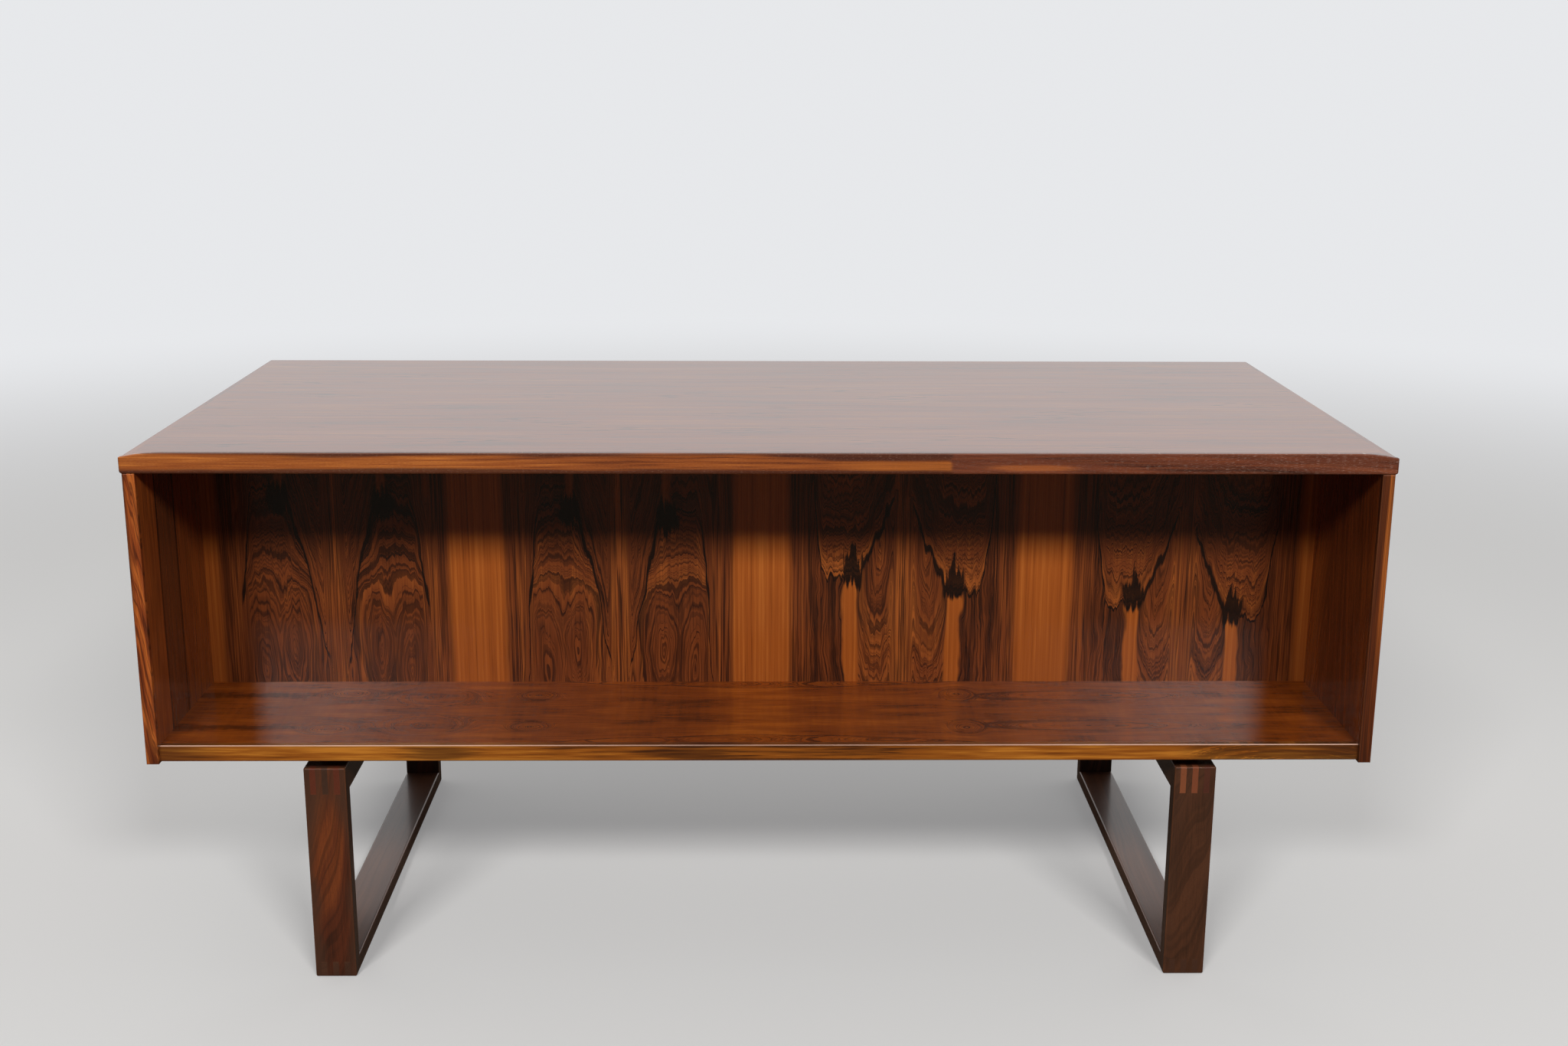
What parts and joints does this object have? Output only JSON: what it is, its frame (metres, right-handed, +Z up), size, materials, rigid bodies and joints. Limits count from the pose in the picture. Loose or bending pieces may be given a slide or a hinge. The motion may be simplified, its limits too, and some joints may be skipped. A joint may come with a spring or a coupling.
{
  "type": "freestanding desk",
  "caption": "Freestanding rosewood desk with drawer pedestals and a kneehole on one side, an open book bay on the other, carried by closed box-jointed leg frames.",
  "frame": {"origin": "on the floor, under the middle of the desktop", "axes": "+Z up, +X along the desk to the right of someone who faces the open book bay, +Y from the bay towards the drawers and the person at the desk"},
  "size_m": [1.6, 0.75, 0.73],
  "materials": {
    "rosewood_veneer": "satin lacquer over straight-grained rosewood veneer",
    "rosewood_lipping": "satin lacquer over solid rosewood",
    "rosewood_bookmatch": "satin lacquer over book-matched rosewood veneer",
    "dark_rosewood": "satin lacquer over dark solid rosewood",
    "drawer_wood": "thin lacquer over plain mahogany",
    "drawer_ply": "thin lacquer over plywood",
    "beech": "bare turned beech",
    "screw_steel": "dull plain steel"
  },
  "bodies": {
    "desk": {"bay_back_panel": "rosewood_bookmatch", "bay_shelf": "rosewood_veneer", "bay_shelf_lipping": "rosewood_lipping", "case_dowels": "beech", "desktop_cleats": "drawer_wood", "desktop_lipping_front": "rosewood_lipping", "desktop_lipping_left": "rosewood_lipping", "desktop_lipping_rear": "rosewood_lipping", "desktop_lipping_right": "rosewood_lipping", "desktop_panel": "rosewood_veneer", "desktop_screws": "screw_steel", "drawer_runners_left": "drawer_wood", "drawer_runners_right": "drawer_wood", "drawer_stops": "drawer_wood", "leg_left_bearer": "dark_rosewood", "leg_left_bottom_rail": "dark_rosewood", "leg_left_far_post": "dark_rosewood", "leg_left_near_post": "dark_rosewood", "leg_left_top_rail": "dark_rosewood", "leg_right_bearer": "dark_rosewood", "leg_right_bottom_rail": "dark_rosewood", "leg_right_far_post": "dark_rosewood", "leg_right_near_post": "dark_rosewood", "leg_right_top_rail": "dark_rosewood", "leg_screws": "screw_steel", "pedestal_left_floor": "rosewood_veneer", "pedestal_left_inner_side": "rosewood_veneer", "pedestal_right_floor": "rosewood_veneer", "pedestal_right_inner_side": "rosewood_veneer", "side_lipping_left_front": "rosewood_lipping", "side_lipping_left_rear": "rosewood_lipping", "side_lipping_right_front": "rosewood_lipping", "side_lipping_right_rear": "rosewood_lipping", "side_panel_left": "rosewood_veneer", "side_panel_right": "rosewood_veneer"},
    "top_left_drawer": {"drawer_top_left_front": "rosewood_veneer", "drawer_top_left_left_side": "drawer_wood", "drawer_top_left_right_side": "drawer_wood", "drawer_top_left_back": "drawer_wood", "drawer_top_left_bottom": "drawer_ply"},
    "middle_left_drawer": {"drawer_middle_left_front": "rosewood_veneer", "drawer_middle_left_left_side": "drawer_wood", "drawer_middle_left_right_side": "drawer_wood", "drawer_middle_left_back": "drawer_wood", "drawer_middle_left_bottom": "drawer_ply"},
    "bottom_left_drawer": {"drawer_bottom_left_front": "rosewood_veneer", "drawer_bottom_left_left_side": "drawer_wood", "drawer_bottom_left_right_side": "drawer_wood", "drawer_bottom_left_back": "drawer_wood", "drawer_bottom_left_bottom": "drawer_ply"},
    "top_right_drawer": {"drawer_top_right_front": "rosewood_veneer", "drawer_top_right_left_side": "drawer_wood", "drawer_top_right_right_side": "drawer_wood", "drawer_top_right_back": "drawer_wood", "drawer_top_right_bottom": "drawer_ply"},
    "deep_right_drawer": {"drawer_deep_right_front": "rosewood_veneer", "drawer_deep_right_left_side": "drawer_wood", "drawer_deep_right_right_side": "drawer_wood", "drawer_deep_right_back": "drawer_wood", "drawer_deep_right_bottom": "drawer_ply"}
  },
  "joints": [
    {"name": "top_left_slide", "type": "slide", "parent": "desk", "child": "top_left_drawer", "axis": [0, 1, 0], "range_m": [0, 0.3]},
    {"name": "middle_left_slide", "type": "slide", "parent": "desk", "child": "middle_left_drawer", "axis": [0, 1, 0], "range_m": [0, 0.3]},
    {"name": "bottom_left_slide", "type": "slide", "parent": "desk", "child": "bottom_left_drawer", "axis": [0, 1, 0], "range_m": [0, 0.3]},
    {"name": "top_right_slide", "type": "slide", "parent": "desk", "child": "top_right_drawer", "axis": [0, 1, 0], "range_m": [0, 0.3]},
    {"name": "deep_right_slide", "type": "slide", "parent": "desk", "child": "deep_right_drawer", "axis": [0, 1, 0], "range_m": [0, 0.3]}
  ]
}
